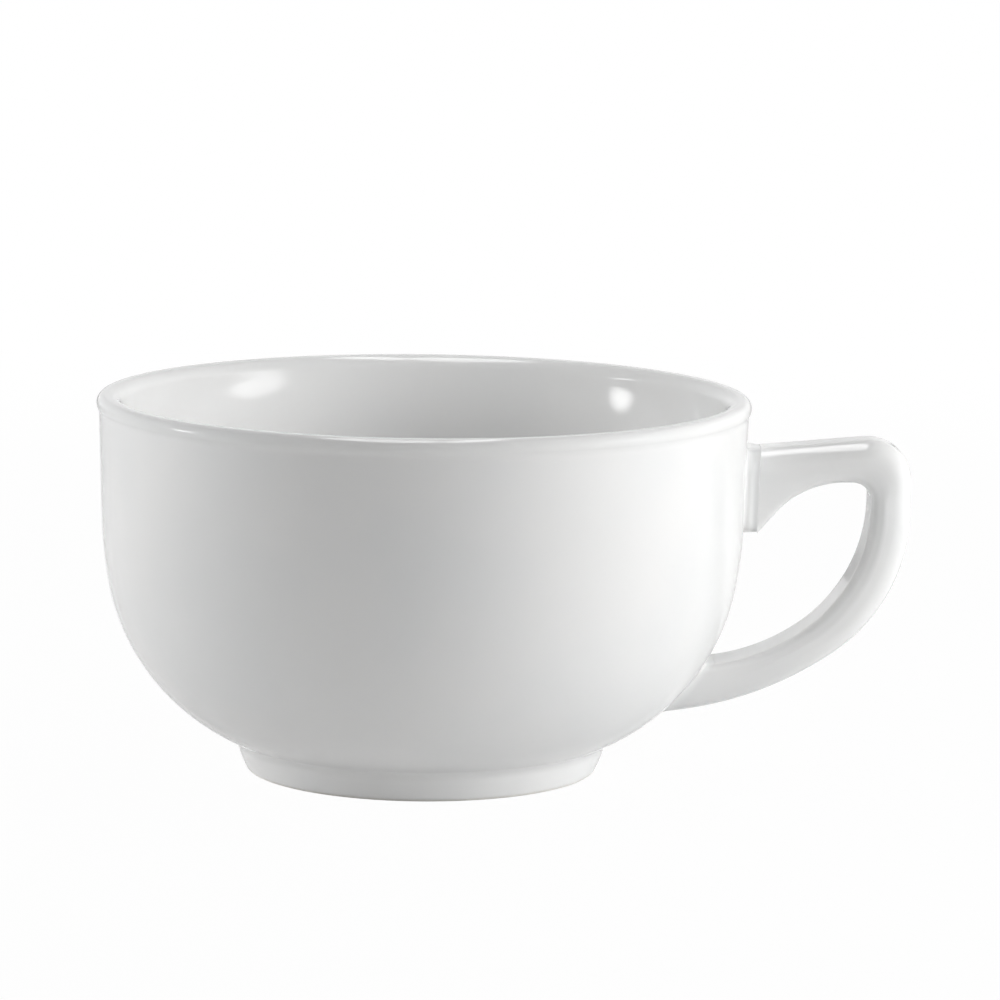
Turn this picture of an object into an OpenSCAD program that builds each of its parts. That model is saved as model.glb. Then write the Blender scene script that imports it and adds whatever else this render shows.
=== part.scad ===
// Cappuccino cup: a wide round bowl on a low foot ring, with a strap handle.
// Millimetres, +Z up. The origin is on the cup's axis, in the plane that the foot stands on.
// The handle points along +X. The clay is fired and glazed white all over but for the standing face.

/* [Bowl] */
// Height from the table to the top of the lip
cup_h = 67.6; // [62:0.2:80]
// Diameter of the upright wall, just under the lip
wall_d = 116; // [100:1:135]
// Lean of the upright wall, which draws in slightly towards its foot, in degrees
wall_lean = 1.5; // [0:0.1:4]
// Thickness of the wall just under the lip
wall_t = 4; // [3.6:0.1:5.5]
// Radius of the gentle curve under the upright wall, outside
side_r = 82; // [65:1:110]
// Turn of the gentle curve before the belly starts, in degrees
side_turn = 9.8; // [6:0.2:16]
// Radius of the belly curve, outside
belly_r = 38.2; // [33:0.2:42]
// Thickness of the floor over the foot ring
floor_t = 4.2; // [3:0.1:6]

/* [Inside of the bowl] */
// Lean of the inside at the lip, in degrees
lip_lean = 4.5; // [1:0.5:6]
// Radius of the hollow curve by which the inside reaches its full lean
lip_hollow_r = 45; // [30:1:60]
// Full lean of the inside, by which the wall grows thicker towards the belly, in degrees
inner_lean = 14; // [9:0.5:16]
// Radius of the inside between that lean and the floor
inner_belly_r = 27; // [23:0.5:31]

/* [Lip] */
// How far the rolled bead stands proud of the wall
bead_overhang = 0.5; // [0.2:0.05:1]
// Radius of the bead's outer edge
bead_r = 1.6; // [1:0.1:2]
// Radius of the hollow that runs from the bead down into the wall
bead_hollow_r = 2.5; // [1:0.1:5]
// Radius of the lip's inner edge
lip_inner_r = 2.4; // [0.6:0.1:2.6]

/* [Foot ring] */
// Height of the foot ring, which is also the depth of the hollow under the cup
foot_h = 3.1; // [2:0.1:6]
// Width of the foot ring at the table
foot_w = 4.4; // [3:0.1:7]
// How far the foot narrows from its top to the table, on the radius
foot_taper = 1.3; // [0:0.1:2.5]
// Radius of the edges of the standing face
foot_edge_r = 0.5; // [0.2:0.1:1]
// Widening of the ring's inner side towards its top, on the radius
foot_inner_draft = 0.8; // [0:0.1:2]
// Radius of the hollow curve between the foot and the belly
neck_r = 3.1; // [1.5:0.1:6]
// How far the belly curve would dip below the foot's top if it went on to its lowest point
belly_dip = 0.7; // [0:0.1:1.5]

/* [Handle] */
// Reach of the handle past the upright wall
handle_reach = 29.2; // [25:0.2:36]
// Drop from the top of the lip to the top of the handle
handle_drop = 7.1; // [5:0.1:12]
// Width of the strap, across the handle
strap_w = 13; // [10:0.2:16]
// Thickness of the strap at the grip
grip_t = 7.3; // [6.4:0.1:9]
// Thickness of the top bar
bar_t = 7.4; // [6.4:0.1:9]
// Radius of the strap's outer edges
outer_edge_r = 4.2; // [1.5:0.1:4.6]
// Radius of the strap's inner edges
inner_edge_r = 1.7; // [0.8:0.1:1.8]
// Fall of the top bar towards the cup, in degrees
bar_fall = 5.1; // [0:0.1:10]
// Radius of the bend where the top bar starts to fall
bar_bend_r = 20; // [10:1:40]
// Radius of the handle's upper corner, outside
corner_out_r = 7.3; // [5:0.1:10]
// Radius of the handle's upper corner, inside
corner_in_r = 3.4; // [2:0.1:5]
// Length of the upright stretch of the grip, outside
grip_out_len = 5.9; // [3:0.1:12]
// Length of the upright stretch of the grip, inside
grip_in_len = 0.8; // [0.4:0.1:6]
// Height of the tail's underside, where its curve runs into the belly
tail_h = 11.3; // [8:0.1:16]
// Depth of the tail there, from its underside to its top
tail_depth = 8.7; // [7:0.1:11]
// Turn of the grip's sweep, in degrees
sweep_turn = 54.5; // [48:0.5:60]
// Radius of the tail that runs back to the belly, outside
tail_out_r = 61.8; // [50:1:80]
// Radius of the tail that runs back to the belly, inside
tail_in_r = 35; // [28:1:50]
// Turn of the tail, in degrees
tail_turn = 27; // [20:0.5:32]
// Radius of the gusset under the top bar, beside the cup
gusset_r = 16.5; // [12:0.5:22]
// Turn of the gusset, in degrees
gusset_turn = 49; // [35:1:60]
// Straight run of the bar's underside between the upper corner and the gusset
gusset_lead = 1.2; // [0.4:0.1:3]

/* [Slip joins] */
// Thickness of the collar of slip between the wall and the handle's upper root
collar_t = 2.4; // [0.8:0.1:2.8]
// How far the collar stands out on each side of the strap
collar_side = 0.8; // [0.2:0.1:1.6]
// How far the collar stands out below the gusset
collar_below = 0.6; // [0:0.1:1]
// Radius of the collar's corners
collar_corner_r = 2.2; // [0.5:0.1:4]
// Thickness of the slip between the belly and the handle's lower root
tail_slip_t = 1; // [0.5:0.1:1.8]
// How far the slip stands out around the lower root
tail_slip_out = 0.6; // [0.2:0.1:1.2]

/* [Smoothness] */
// Steps in a full turn of any curve
turn_steps = 90; // [36:6:180]
// Steps in each rounded edge of the strap
edge_steps = 4; // [2:1:8]

/* [Hidden] */
$fn = 96;

glaze_white = [0.95, 0.95, 0.945];
slip_white = [0.92, 0.92, 0.91];
foot_white = [0.9, 0.89, 0.87];

// The bowl's outline, as centres of its curves in the plane of radius and height
wall_r = wall_d / 2;
bead_turn = acos(1 - bead_overhang / (bead_r + bead_hollow_r));
bead_z = cup_h - bead_r;
wall_top_z = bead_z - (bead_r + bead_hollow_r) * sin(bead_turn);
belly_z = foot_h - belly_dip + belly_r;
side_z = belly_z + (side_r - belly_r) * sin(side_turn);
side_top_z = side_z - side_r * sin(wall_lean);
side_x = wall_r - (wall_top_z - side_top_z) * tan(wall_lean) - side_r * cos(wall_lean);
belly_x = side_x + (side_r - belly_r) * cos(side_turn);
belly_centre = [belly_x, belly_z];
side_centre = [side_x, side_z];

// The foot's neck, where the hollow curve leaves the foot upright and meets the belly
neck_rise = belly_z - foot_h;
neck_run = sqrt(pow(belly_r + neck_r, 2) - pow(neck_rise, 2));
neck_angle = atan2(neck_rise, neck_run);
foot_top_r = belly_x + neck_run - neck_r;
foot_base_r = foot_top_r - foot_taper;
foot_inner_r = foot_base_r - foot_w;

// The inside of the bowl: the lip's inner edge, the hollow curve under it, the straight lean and the belly
lip_edge_centre = [wall_r - wall_t + lip_inner_r * cos(lip_lean), cup_h - lip_inner_r];
lip_hollow_top = lip_edge_centre + lip_inner_r * [-cos(lip_lean), sin(lip_lean)];
lip_hollow_centre = lip_hollow_top + lip_hollow_r * [-cos(lip_lean), sin(lip_lean)];
lip_hollow_end = lip_hollow_centre + lip_hollow_r * [cos(inner_lean), -sin(inner_lean)];
floor_z = foot_h + floor_t;
inner_belly_z = floor_z + inner_belly_r;
inner_run = (lip_hollow_end.y - inner_belly_z) * tan(inner_lean) + inner_belly_r / cos(inner_lean);
inner_belly_centre = [lip_hollow_end.x - inner_run, inner_belly_z];

// The handle's two outlines start above its upper corner and run both ways from there
handle_x = wall_r + handle_reach;
handle_top = cup_h - handle_drop;
outer_start = [handle_x - corner_out_r, handle_top];
inner_start = [handle_x - grip_t - corner_in_r, handle_top - bar_t];
collar_x = wall_r + collar_t;

// The sweep takes the height that the corner, the upright stretch and the tail leave between them
tail_rise_share = sin(sweep_turn + tail_turn) - sin(sweep_turn);
sweep_out_z = handle_top - corner_out_r - grip_out_len;
sweep_in_z = handle_top - bar_t - corner_in_r - grip_in_len;
sweep_out_r = (sweep_out_z - tail_h - tail_out_r * tail_rise_share) / sin(sweep_turn);
sweep_in_r = (sweep_in_z - tail_h - tail_depth - tail_in_r * tail_rise_share) / sin(sweep_turn);

// The runs that bury both roots in the cup before they are cut to its curve
root_run = wall_r / 3;
gusset_end_x = inner_start.x - gusset_lead - gusset_r * sin(gusset_turn);
gusset_end_z = inner_start.y - gusset_r * (1 - cos(gusset_turn));
gusset_run = (gusset_end_x - wall_r + 2 * wall_t) / cos(gusset_turn);
bar_bend_x = outer_start.x - bar_bend_r * sin(bar_fall);
bar_bend_z = handle_top - bar_bend_r * (1 - cos(bar_fall));
bar_len = (bar_bend_x - gusset_end_x) / cos(bar_fall);
bar_run = (gusset_end_x - wall_r + 2 * wall_t) / cos(bar_fall);

// The collar's ends follow the bar's two outlines where they reach its face
collar_top = bar_bend_z - (bar_bend_x - collar_x) * tan(bar_fall);
collar_low = gusset_end_z - (gusset_end_x - collar_x) * tan(gusset_turn) - collar_below;

// Height that parts the handle's upper root from its lower one
root_parting = (collar_low + foot_h) / 2;

// Number of steps that a turn takes
function steps(turn) = max(2, ceil(abs(turn) * turn_steps / 360));

// Points along a round stretch, from one angle to another
function arc(centre, r, from, to) = [
    for (i = [0:steps(to - from)])
        let (a = from + (to - from) * i / steps(to - from))
            centre + r * [cos(a), sin(a)]
];

// Direction to the left of a heading
function left_of(heading) = [-sin(heading), cos(heading)];

// Point at a fraction of a stretch, which is [radius, turn], or [length, 0] where it is straight
function along(p, heading, stretch, f) =
    stretch[1] == 0
        ? p + f * stretch[0] * [cos(heading), sin(heading)]
        : p + sign(stretch[1]) * stretch[0] * (left_of(heading) - left_of(heading + f * stretch[1]));

// Points of a path that takes its stretches one after the other, each in its own count of steps
function path(p, heading, stretches, counts, i = 0) =
    i == len(stretches)
        ? [p]
        : concat(
            [for (k = [0:counts[i] - 1]) along(p, heading, stretches[i], k / counts[i])],
            path(along(p, heading, stretches[i], 1), heading + stretches[i][1], stretches, counts, i + 1)
        );

function reversed(list) = [for (i = [len(list) - 1:-1:0]) list[i]];
function without_first(list) = [for (i = [1:len(list) - 1]) list[i]];

// Counts of steps, the same on both outlines so that their points face each other
front_counts = [steps(90), 2, steps(sweep_turn), steps(tail_turn), 3];
back_counts = [1, steps(gusset_turn), 3];

outer_front = path(outer_start, 0, [
    [corner_out_r, -90],
    [grip_out_len, 0],
    [sweep_out_r, -sweep_turn],
    [tail_out_r, -tail_turn],
    [root_run, 0]
], front_counts);
inner_front = path(inner_start, 0, [
    [corner_in_r, -90],
    [grip_in_len, 0],
    [sweep_in_r, -sweep_turn],
    [tail_in_r, -tail_turn],
    [root_run, 0]
], front_counts);
outer_back = path(outer_start, 180, [
    [bar_bend_r, bar_fall],
    [bar_len, 0],
    [bar_run, 0]
], back_counts);
inner_back = path(inner_start, 180, [
    [gusset_lead, 0],
    [gusset_r, gusset_turn],
    [gusset_run, 0]
], back_counts);

outer_line = concat(reversed(without_first(outer_back)), outer_front);
inner_line = concat(reversed(without_first(inner_back)), inner_front);

// One ring of the strap: a rounded section between a point of each outline, swollen by grow
function edge(centre_u, centre_y, r, from) = [
    for (i = [0:edge_steps])
        let (a = from + 90 * i / edge_steps)
            [centre_u + r * cos(a), centre_y + r * sin(a)]
];
function section(t, grow) =
    let (
        half_w = strap_w / 2 + grow,
        in_r = min(inner_edge_r + grow, t / 2),
        out_r = min(outer_edge_r + grow, t - in_r)
    )
        concat(
            edge(t - out_r, half_w - out_r, out_r, 0),
            edge(in_r, half_w - in_r, in_r, 90),
            edge(in_r, in_r - half_w, in_r, 180),
            edge(t - out_r, out_r - half_w, out_r, 270)
        );
function ring(inner, outer, grow) =
    let (
        across = (outer - inner) / norm(outer - inner),
        from = inner - grow * across,
        t = norm(outer - inner) + 2 * grow
    )
        [for (q = section(t, grow)) [from.x + q.x * across.x, q.y, from.y + q.x * across.y]];

// The strap between two stations of its outlines, one closed skin
module strap(first, last, grow) {
    rings = [for (i = [first:last]) ring(inner_line[i], outer_line[i], grow)];
    n = len(rings[0]);
    end = len(rings) - 1;
    points = [for (r = rings) each r];
    sides = [
        for (i = [0:end - 1], j = [0:n - 1])
            let (a = i * n + j, b = i * n + (j + 1) % n)
                each [[a, b, b + n], [a, b + n, a + n]]
    ];
    caps = [
        [for (j = [n - 1:-1:0]) j],
        [for (j = [0:n - 1]) end * n + j]
    ];
    polyhedron(points, concat(sides, caps));
}

// The cup's outer form as a full solid, swollen by grow, from the belly's lowest point up
module filled_cup(grow, low, high) {
    intersection() {
        rotate_extrude()
            polygon(concat(
                [[0, belly_z - belly_r - grow]],
                arc(belly_centre, belly_r + grow, -90, -side_turn),
                without_first(arc(side_centre, side_r + grow, -side_turn, -wall_lean)),
                [[wall_r + grow, wall_top_z], [0, wall_top_z]]
            ));
        translate([0, 0, low])
            cylinder(r = handle_x, h = high - low);
    }
}

module bowl() {
    color(glaze_white)
        rotate_extrude()
            polygon(concat(
                [[0, foot_h]],
                arc([foot_top_r + neck_r, foot_h], neck_r, 180, 180 - neck_angle),
                without_first(arc(belly_centre, belly_r, -neck_angle, -side_turn)),
                without_first(arc(side_centre, side_r, -side_turn, -wall_lean)),
                arc([wall_r + bead_hollow_r, wall_top_z], bead_hollow_r, 180, 180 - bead_turn),
                without_first(arc([wall_r + bead_overhang - bead_r, bead_z], bead_r, -bead_turn, 90)),
                arc(lip_edge_centre, lip_inner_r, 90, 180 - lip_lean),
                without_first(arc(lip_hollow_centre, lip_hollow_r, -lip_lean, -inner_lean)),
                arc(inner_belly_centre, inner_belly_r, -inner_lean, -90),
                [[0, floor_z]]
            ));
}

module foot_ring() {
    color(foot_white)
        rotate_extrude()
            polygon(concat(
                [[foot_top_r, foot_h], [foot_inner_r - foot_inner_draft, foot_h]],
                arc([foot_inner_r + foot_edge_r, foot_edge_r], foot_edge_r, 180, 270),
                arc([foot_base_r - foot_edge_r, foot_edge_r], foot_edge_r, 270, 360)
            ));
}

module handle() {
    color(glaze_white)
        difference() {
            strap(0, len(outer_line) - 1, 0);
            filled_cup(collar_t, root_parting, cup_h);
            filled_cup(tail_slip_t, 0, root_parting);
        }
}

// A collar on the wall, as wide as the strap and a little over, cut to the wall's curve on both faces
module upper_slip_join() {
    half_w = strap_w / 2 + collar_side - collar_corner_r;
    color(slip_white)
        difference() {
            intersection() {
                translate([wall_r - wall_t, 0, 0])
                    rotate([90, 0, 90])
                        linear_extrude(wall_t + 2 * collar_t)
                            upright_rounded_rectangle(half_w, collar_low + collar_corner_r, collar_top - collar_corner_r);
                filled_cup(collar_t, root_parting, cup_h);
            }
            filled_cup(0, root_parting - wall_t, cup_h);
        }
}

// An upright rounded rectangle, from its corner radius and the centres of its corners
module upright_rounded_rectangle(half_w, low, high) {
    for (y = [-half_w, half_w], z = [low, high])
        translate([y, z])
            circle(collar_corner_r);
    translate([-half_w - collar_corner_r, low])
        square([2 * (half_w + collar_corner_r), high - low]);
    translate([-half_w, low - collar_corner_r])
        square([2 * half_w, high - low + 2 * collar_corner_r]);
}

// A thin bed of slip on the belly, under the handle's tail and a little over
module lower_slip_join() {
    tail_first = len(outer_line) - front_counts[4] - front_counts[3] - 1;
    color(slip_white)
        difference() {
            intersection() {
                strap(tail_first, len(outer_line) - 1, tail_slip_out);
                filled_cup(tail_slip_t, 0, root_parting);
            }
            filled_cup(0, -wall_t, root_parting + wall_t);
        }
}

bowl();
foot_ring();
handle();
upper_slip_join();
lower_slip_join();
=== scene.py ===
# %% [markdown]
# # A white cappuccino cup
#
# The cup is a wide round bowl on a low foot ring, with a strap handle that turns sharply at
# its upper corner. The clay is pressed and turned on a wheel, the handle is cast and stuck on
# with slip, and everything is fired under one coat of white glaze.
#
# The construction model is already there, in five solids. This file loads it as a fixed frame
# and gives each solid a finer visible form and a finish, so that each piece sits where its
# solid sits. The order is: frame, camera, tools, glaze, bowl, foot, handle, joins, studio.

# %% Load the construction model
import math

import bmesh
import bpy
import numpy as np
from mathutils import Matrix, Vector


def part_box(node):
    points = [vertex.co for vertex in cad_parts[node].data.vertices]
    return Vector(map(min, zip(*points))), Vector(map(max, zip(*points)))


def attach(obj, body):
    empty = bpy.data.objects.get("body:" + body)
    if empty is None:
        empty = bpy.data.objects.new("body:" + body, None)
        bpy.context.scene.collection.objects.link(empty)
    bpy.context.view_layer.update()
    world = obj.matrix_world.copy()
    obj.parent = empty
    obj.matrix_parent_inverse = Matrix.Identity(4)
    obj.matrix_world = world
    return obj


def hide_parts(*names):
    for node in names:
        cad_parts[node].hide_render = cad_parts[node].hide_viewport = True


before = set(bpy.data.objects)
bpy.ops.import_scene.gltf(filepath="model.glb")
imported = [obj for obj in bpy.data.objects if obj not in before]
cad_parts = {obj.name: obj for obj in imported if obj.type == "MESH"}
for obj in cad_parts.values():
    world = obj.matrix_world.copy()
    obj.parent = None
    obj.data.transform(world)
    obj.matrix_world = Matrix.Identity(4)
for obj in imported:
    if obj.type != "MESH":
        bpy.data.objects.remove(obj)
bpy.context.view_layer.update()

MM = 0.001               # a millimetre in the scene's metres
scene = bpy.context.scene
scene.view_settings.view_transform = "Standard"
print("solids:", sorted(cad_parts))


# %% Put things into the scene
def put(name, data):
    """Puts a mesh, a lamp or a camera into the scene under its name."""
    thing = bpy.data.objects.new(name, data)
    scene.collection.objects.link(thing)
    return thing


# %% [markdown]
# ## The camera
#
# The photograph was taken from a little above the rim with a long lens, which keeps both ends
# of the handle at nearly the same scale. A camera can be placed by eye, but the ellipse of the
# lip and the outline of the foot fix it much better: a lens, a place and three angles were
# found that lay both over the picture. The same values are written here. The camera is turned
# by its own axes and not by a tracking constraint.

# %% Place the camera
FRAME_PX = 1000.0        # width of the picture
LENS_PX = 4936.8         # distance from lens to picture, in the picture's pixels
SENSOR_MM = 36.0
EYE = Vector((0.0, -874.5, 184.45)) * MM
TURN_RIGHT = math.radians(0.899)
TILT_DOWN = math.radians(8.8325)
ROLL = math.radians(0.7361)


def camera_axes(turn, tilt, roll):
    """Right, up and backward axes of a camera that looks along +Y before it is turned."""
    forward = Vector((math.sin(turn) * math.cos(tilt),
                      math.cos(turn) * math.cos(tilt),
                      -math.sin(tilt)))
    level = Vector((math.cos(turn), -math.sin(turn), 0.0))
    upright = level.cross(forward)
    right = math.cos(roll) * level + math.sin(roll) * upright
    up = math.cos(roll) * upright - math.sin(roll) * level
    return right, up, -forward


camera = put("camera", bpy.data.cameras.new("camera"))
camera.data.sensor_width = SENSOR_MM
camera.data.lens = SENSOR_MM * LENS_PX / FRAME_PX
axes = Matrix(camera_axes(TURN_RIGHT, TILT_DOWN, ROLL)).transposed()
camera.matrix_world = Matrix.Translation(EYE) @ axes.to_4x4()
scene.camera = camera
print("lens:", round(camera.data.lens, 1), "mm")

# %% [markdown]
# ## Wires and boards
#
# Both the shapes and the finishes below are node trees. Written node by node they are long, so
# a wire stands for one socket, and a sum on wires adds its own Math node. A board stands for a
# tree, and its one method adds any other node: its kind, its settings, then its inputs.

# %% Make wires that can be added and multiplied
class Wire:
    """One output socket. Sums, products, quotients and the like become Math nodes."""

    def __init__(self, board, socket):
        self.board, self.socket = board, socket

    def __getitem__(self, name):
        return Wire(self.board, self.socket.node.outputs[name])

    def math(self, operation, *values):
        return self.board.add("ShaderNodeMath", {"operation": operation}, dict(enumerate(values)))

    def __add__(self, other):
        return self.math("ADD", self, other)

    def __radd__(self, other):
        return self.math("ADD", other, self)

    def __sub__(self, other):
        return self.math("SUBTRACT", self, other)

    def __rsub__(self, other):
        return self.math("SUBTRACT", other, self)

    def __mul__(self, other):
        return self.math("MULTIPLY", self, other)

    def __rmul__(self, other):
        return self.math("MULTIPLY", other, self)

    def __truediv__(self, other):
        return self.math("DIVIDE", self, other)

    def __mod__(self, other):
        return self.math("MODULO", self, other)


# %% Make boards that any node can be added to
NODE_STEP = 180          # room between two nodes in the node editor


class Board:
    """A node tree with one way of adding a node."""

    def __init__(self, tree):
        self.tree = tree

    def add(self, kind, settings=None, inputs=None):
        """Adds a node, sets it, fills or links its inputs, and returns its first output."""
        node = self.tree.nodes.new(kind)
        node.location = (len(self.tree.nodes) * NODE_STEP, 0)
        for name, value in (settings or {}).items():
            setattr(node, name, value)
        for name, value in (inputs or {}).items():
            socket = node.inputs[name] if isinstance(name, int) else enabled(node.inputs, name)
            if isinstance(value, Wire):
                self.tree.links.new(value.socket, socket)
            else:
                socket.default_value = value
        outputs = [socket for socket in node.outputs if socket.enabled]
        return Wire(self, outputs[0]) if outputs else None


def enabled(sockets, name):
    """The socket of that name that its node's settings have switched on."""
    return next(socket for socket in sockets if socket.name == name and socket.enabled)


def blank_board(owner):
    """The emptied node tree of a material, a lamp or a world."""
    owner.use_nodes = True
    owner.node_tree.nodes.clear()
    return Board(owner.node_tree)


def vector_math(operation, first, *others):
    """A difference, a distance, a length or the like of wires that carry vectors."""
    return first.board.add("ShaderNodeVectorMath", {"operation": operation},
                           dict(enumerate((first, *others))))


# %% [markdown]
# ## A tree that is ready for its inputs
#
# Each Geometry Nodes tree starts and ends alike. It takes a mesh of points and some named sizes,
# lays a grid whose points find their places by their index, and ends by making every instance
# real and setting the glaze. The result is taken from the evaluated object as a plain mesh, so
# that no modifier is left on the finished piece.

# %% Open, close and run a tree
HARD_TURN = math.radians(50)   # an edge whose faces turn by more than this stays sharp
WELD = 0.001 * MM        # points nearer than this become one
ML = 1e-6                # a millilitre in cubic metres


def open_tree(name, sizes):
    """A tree with named inputs after its geometry. Returns its board and its input wires."""
    tree = bpy.data.node_groups.new(name, "GeometryNodeTree")
    tree.interface.new_socket("Geometry", in_out="INPUT", socket_type="NodeSocketGeometry")
    for label, kind in sizes.items():
        tree.interface.new_socket(label, in_out="INPUT", socket_type=kind)
    tree.interface.new_socket("Geometry", in_out="OUTPUT", socket_type="NodeSocketGeometry")
    board = Board(tree)
    return board, board.add("NodeGroupInput")


def count_points(board, geometry):
    """How many points a mesh has."""
    return board.add("GeometryNodeAttributeDomainSize", {"component": "MESH"},
                     {"Geometry": geometry})


def read(board, geometry, value, where, kind="FLOAT_VECTOR"):
    """A value of another geometry's point, by its index."""
    return board.add("GeometryNodeSampleIndex", {"data_type": kind, "domain": "POINT"},
                     {"Geometry": geometry, "Value": value, "Index": where})


def lay_grid(board, columns, rows, place):
    """A grid of so many points, each moved to its place and welded to those that it meets."""
    grid = board.add("GeometryNodeMeshGrid", {}, {
        "Size X": 1.0, "Size Y": 1.0, "Vertices X": columns, "Vertices Y": rows,
    })
    placed = board.add("GeometryNodeSetPosition", {}, {"Geometry": grid, "Position": place})
    return board.add("GeometryNodeMergeByDistance", {}, {"Geometry": placed, "Distance": WELD})


def close_tree(board, given, surface):
    """Ends a tree: smooth faces, sharp where they turn hard, real geometry, and the glaze."""
    smooth = board.add("GeometryNodeSetShadeSmooth", {"domain": "FACE"}, {"Geometry": surface})
    turn = board.add("GeometryNodeInputMeshEdgeAngle")
    hard = board.add("FunctionNodeCompare", {"data_type": "FLOAT", "operation": "GREATER_THAN"},
                     {"A": turn, "B": given["Hard turn"]})
    edged = board.add("GeometryNodeSetShadeSmooth", {"domain": "EDGE"},
                      {"Geometry": smooth, "Selection": hard, "Shade Smooth": False})
    real = board.add("GeometryNodeRealizeInstances", {}, {"Geometry": edged})
    glazed = board.add("GeometryNodeSetMaterial", {},
                       {"Geometry": real, "Material": given["Glaze"]})
    board.add("NodeGroupOutput", {}, {"Geometry": glazed})


def run_tree(name, start, board, values):
    """Runs a tree on a starting mesh and keeps the result as a plain mesh object."""
    source = put(name + "_start", start)
    modifier = source.modifiers.new("tree", "NODES")
    modifier.node_group = board.tree
    for item in board.tree.interface.items_tree:
        if item.in_out == "INPUT" and item.name in values:
            modifier[item.identifier] = values[item.name]
    evaluated = source.evaluated_get(bpy.context.evaluated_depsgraph_get())
    mesh = bpy.data.meshes.new_from_object(evaluated)
    bpy.data.objects.remove(source)
    mesh.name = name
    return put(name, mesh)


def points_mesh(name, points):
    """A mesh of loose points, which a tree reads by their index."""
    mesh = bpy.data.meshes.new(name)
    mesh.from_pydata([tuple(point) for point in points], [], [])
    return mesh


def report(piece):
    """Prints a finished piece's measures. Its volume is positive if its faces look out."""
    shape = bmesh.new()
    shape.from_mesh(piece.data)
    open_edges = sum(not edge.is_manifold for edge in shape.edges)
    volume = shape.calc_volume(signed=True)
    shape.free()
    triangles = sum(len(face.vertices) - 2 for face in piece.data.polygons)
    print(f"{piece.name}: {triangles} triangles, {volume / ML:.1f} ml, {open_edges} open edges")


# %% [markdown]
# ## The glaze
#
# The cup's white is a fired glass coat over pale clay. Seen close it isn't one flat white: it
# pools a little and thins over edges, it has a faint ripple like the skin of an orange, and its
# gloss changes slightly from place to place. It could be a glossy coat over a matt base, but a
# single glossy surface with the refraction of glass does the same with less to go wrong when
# the part is used elsewhere. All patterns read Object coordinates, so the ripple has its real
# size, about five millimetres from crest to crest, and stays in the clay when the view moves.
#
# The foot ring stands on bare clay: its face was wiped before firing so that it wouldn't stick
# to the kiln shelf. There the same material turns matt and slightly warm, by height. The shade
# in the groove beside the handle's upper root is painted in: the glaze of the joins turns a
# darker grey past a distance from the axis, as painted shade.

# %% Mix the glaze
GLAZE_WHITE = (0.865, 0.865, 0.86, 1.0)
GLAZE_POOLED = (0.835, 0.842, 0.842, 1.0)
# painted shade: the dark grey of the shaded groove by the handle's upper root
PAINTED_GROOVE_SHADE = (0.64, 0.645, 0.645, 1.0)
BARE_CLAY = (0.74, 0.715, 0.67, 1.0)
GLAZE_GLOSS, GLOSS_CHANGE = 0.04, 0.02   # roughness of the glaze, and how much it varies
CLAY_MATT = 0.78         # roughness of bare clay
GLASS_IOR = 1.52
POOL_SIZE = 28 * MM      # size of the areas where the glaze is thicker
POOL_LOW, POOL_HIGH = 0.42, 0.68   # noise at which the pooling begins and is full
POOL_SHARE = 0.8
GLOSS_SIZE = 9 * MM      # size of the areas of one gloss
RIPPLE_SIZE, RIPPLE_HEIGHT = 5 * MM, 0.012 * MM
FINE_SIZE, FINE_SHARE = 0.9 * MM, 0.12   # the finer ripple on the ripple
PAINTED_SHADE_PAST_X = 58.6 * MM     # the joins' glaze is painted darker, as shade, past this distance from the axis
PAINTED_SHADE_EDGE = 0.5 * MM   # how softly the painted shade begins, to either side of that
WIPED_BELOW = 0.3 * MM   # the foot is bare clay below this height
WIPED_EDGE = 0.12 * MM   # how far the line of the wiping wanders, and how soft it is
WIPED_SIZE = 1.6 * MM
GRAIN_SIZE = 0.25 * MM   # grain of the bare clay
GRAIN_SHARE = 0.5
GRAIN_HEIGHT, CLAY_SUNK = 1.5, 4.0   # in heights of the ripple, as bare clay lies lower


def noise(board, where, size, detail=2.0):
    """Noise from 0 to 1 whose features are about that size in metres."""
    return board.add("ShaderNodeTexNoise", {"noise_dimensions": "3D"},
                     {"Vector": where, "Scale": 1 / size, "Detail": detail})


def ramp(board, value, low, high):
    """0 below low, 1 above high, and a smooth change between them."""
    return board.add("ShaderNodeMapRange", {"interpolation_type": "SMOOTHSTEP"},
                     {"Value": value, "From Min": low, "From Max": high})


def blend(board, share, first, second):
    """A colour between two: the first at share 0, the second at 1."""
    return board.add("ShaderNodeMix", {"data_type": "RGBA"},
                     {"Factor": share, "A": first, "B": second})


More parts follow.
